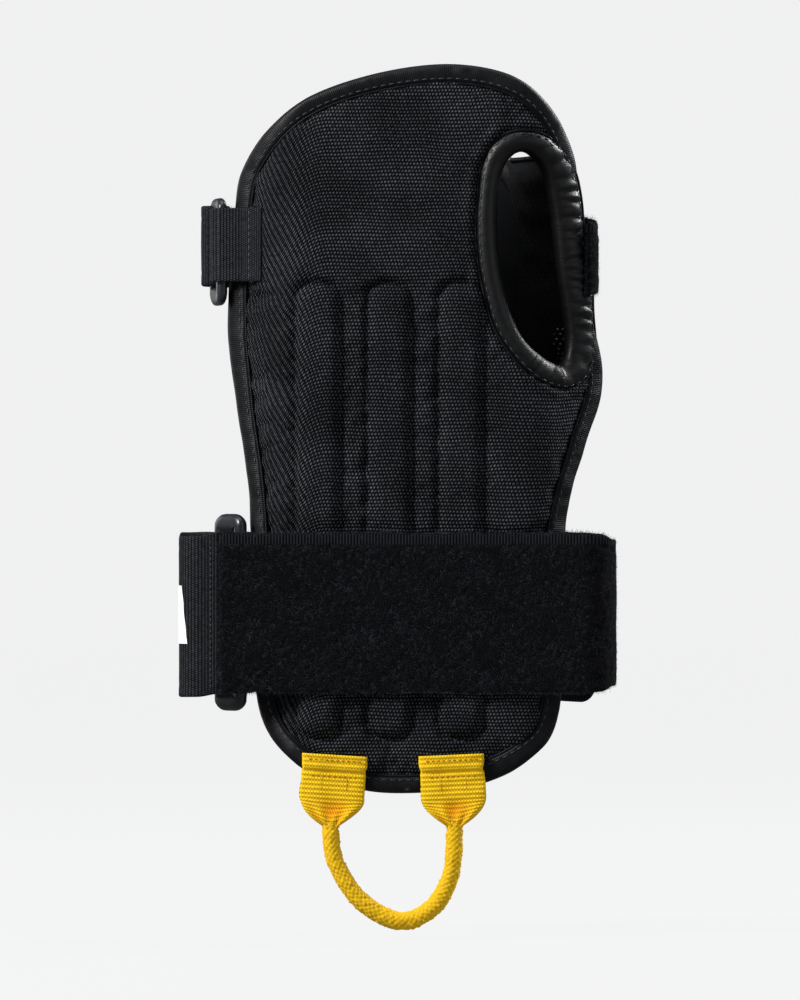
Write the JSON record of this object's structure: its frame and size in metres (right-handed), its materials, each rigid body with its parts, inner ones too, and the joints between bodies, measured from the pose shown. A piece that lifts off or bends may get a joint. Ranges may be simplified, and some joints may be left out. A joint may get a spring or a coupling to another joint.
{
  "type": "wrist guard",
  "caption": "Padded snow-sports wrist guard with palm stays, thumb hole, back panel, hook-and-loop wrist and hand straps through rings, and a cord pull loop.",
  "frame": {"origin": "middle of the wrist cavity at the waist of the guard", "axes": "+Z along the forearm toward the fingers, -Y the palm face, +Y the back of the hand, +X the thumb side"},
  "size_m": [0.1362, 0.0587, 0.2693],
  "materials": {
    "mesh_fabric": "coarse mesh knit",
    "foam": "closed-cell foam laminate",
    "lining": "brushed tricot",
    "edge_binding": "satin woven tape",
    "thumb_rim": "smooth synthetic leather",
    "stay_plastic": "moulded",
    "stretch_mesh": "stretch mesh with pin holes",
    "pile": "brushed loop pile",
    "webbing": "ribbed woven webbing",
    "hook_tape": "moulded hook tape",
    "print_white": "matte screen print",
    "ring_plastic": "moulded acetal",
    "pull_tape": "woven tape",
    "pull_cord": "woven tubular cord"
  },
  "bodies": {
    "guard_body": {"palm_shell": "mesh_fabric", "palm_foam": "foam", "palm_lining": "lining", "palm_edge_binding": "edge_binding", "thumb_hole_binding": "thumb_rim", "stay_channels": "mesh_fabric", "palm_stay_outer": "stay_plastic", "palm_stay_middle": "stay_plastic", "palm_stay_thumb": "stay_plastic", "back_shell": "mesh_fabric", "back_foam": "foam", "back_lining": "lining", "back_binding": "edge_binding", "back_splint": "stay_plastic", "gusset_outer_side": "stretch_mesh", "gusset_thumb_side": "stretch_mesh", "wrist_strap_pile": "pile", "wrist_strap_fold": "webbing", "wrist_ring_keeper": "webbing", "hand_strap_pile": "pile", "hand_strap_fold": "webbing", "hand_ring_keeper": "webbing", "pull_tab_outer": "pull_tape", "pull_tab_thumb": "pull_tape"},
    "wrist_tail": {"wrist_strap_tail": "webbing", "wrist_hook_patch": "hook_tape", "wrist_tail_print": "print_white"},
    "hand_tail": {"hand_strap_tail": "webbing", "hand_hook_patch": "hook_tape"},
    "wrist_ring_body": {"wrist_ring": "ring_plastic"},
    "hand_ring_body": {"hand_ring": "ring_plastic"},
    "pull_loop_body": {"pull_cord": "pull_cord"}
  },
  "joints": [
    {"name": "wrist_tail_peel", "type": "hinge", "parent": "guard_body", "child": "wrist_tail", "pos_m": [-0.04785, 0.029, -0.0305], "axis": [0, 0, 1], "range_deg": [0, 150]},
    {"name": "hand_tail_peel", "type": "hinge", "parent": "guard_body", "child": "hand_tail", "pos_m": [-0.04585, 0.029, 0.084], "axis": [0, 0, 1], "range_deg": [0, 150]},
    {"name": "wrist_ring_swing", "type": "hinge", "parent": "guard_body", "child": "wrist_ring_body", "pos_m": [-0.0522, -0.0174, -0.0305], "axis": [0, 0, 1], "range_deg": [-25, 20]},
    {"name": "hand_ring_swing", "type": "hinge", "parent": "guard_body", "child": "hand_ring_body", "pos_m": [-0.0598, -0.0106, 0.084], "axis": [0, 0, 1], "range_deg": [-6, 6]},
    {"name": "pull_loop_swing", "type": "hinge", "parent": "guard_body", "child": "pull_loop_body", "pos_m": [-0.0053, -0.02645, -0.098], "axis": [1, 0, 0], "range_deg": [-80, 80]}
  ]
}
